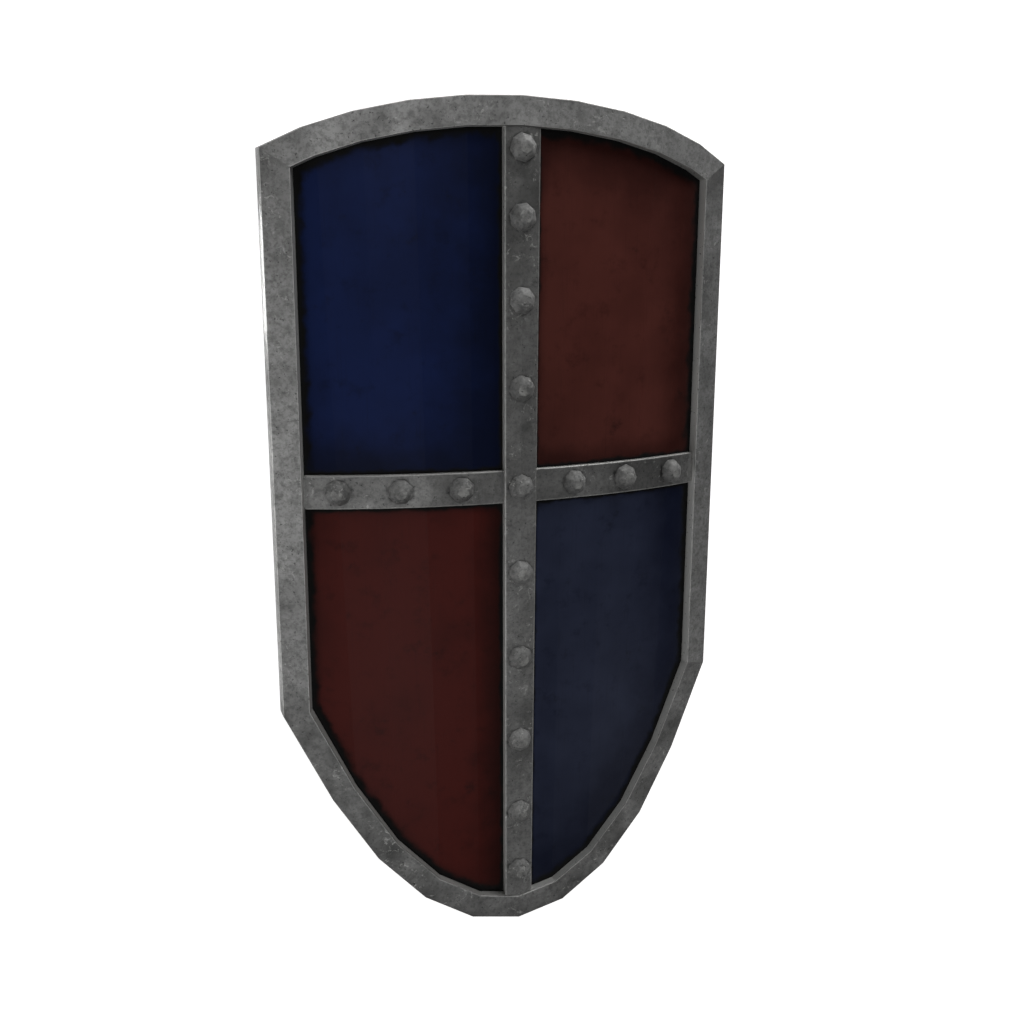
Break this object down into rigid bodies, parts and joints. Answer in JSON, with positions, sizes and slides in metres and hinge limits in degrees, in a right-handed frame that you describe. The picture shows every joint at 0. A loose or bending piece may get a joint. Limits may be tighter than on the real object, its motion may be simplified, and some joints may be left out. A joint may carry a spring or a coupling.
{
  "type": "heater shield",
  "caption": "Curved wooden heater shield with quartered paint, a forged iron rim and crossed iron bars held by domed rivets.",
  "frame": {"origin": "on the surface that the shield lies on, under the middle of its outline", "axes": "+Z out of the front face, +Y toward the top edge, +X toward the right as seen from the front"},
  "size_m": [0.5182, 0.9212, 0.0765],
  "materials": {
    "painted_board": "satin oil paint over wood, quartered dark blue and dark red on the front, bare wood behind, grime along the edges",
    "rim_iron": "forged iron, dull, with pale scuffs and dark pits",
    "bar_iron": "forged iron, dull, with pale scuffs and dark pits",
    "rivet_iron": "forged iron, worn bright on the crowns"
  },
  "bodies": {
    "root": {"stave_left_4": "painted_board", "stave_left_3": "painted_board", "stave_left_2": "painted_board", "stave_left_1": "painted_board", "stave_middle": "painted_board", "stave_right_1": "painted_board", "stave_right_2": "painted_board", "stave_right_3": "painted_board", "stave_right_4": "painted_board", "rim": "rim_iron", "upright_band": "bar_iron", "cross_band": "bar_iron", "upright_rivet_1": "rivet_iron", "upright_rivet_2": "rivet_iron", "upright_rivet_3": "rivet_iron", "upright_rivet_4": "rivet_iron", "upright_rivet_5": "rivet_iron", "upright_rivet_6": "rivet_iron", "upright_rivet_7": "rivet_iron", "upright_rivet_8": "rivet_iron", "upright_rivet_9": "rivet_iron", "upright_rivet_10": "rivet_iron", "crossbar_rivet_left_1": "rivet_iron", "crossbar_rivet_left_2": "rivet_iron", "crossbar_rivet_left_3": "rivet_iron", "crossbar_rivet_right_1": "rivet_iron", "crossbar_rivet_right_2": "rivet_iron", "crossbar_rivet_right_3": "rivet_iron"}
  },
  "joints": []
}
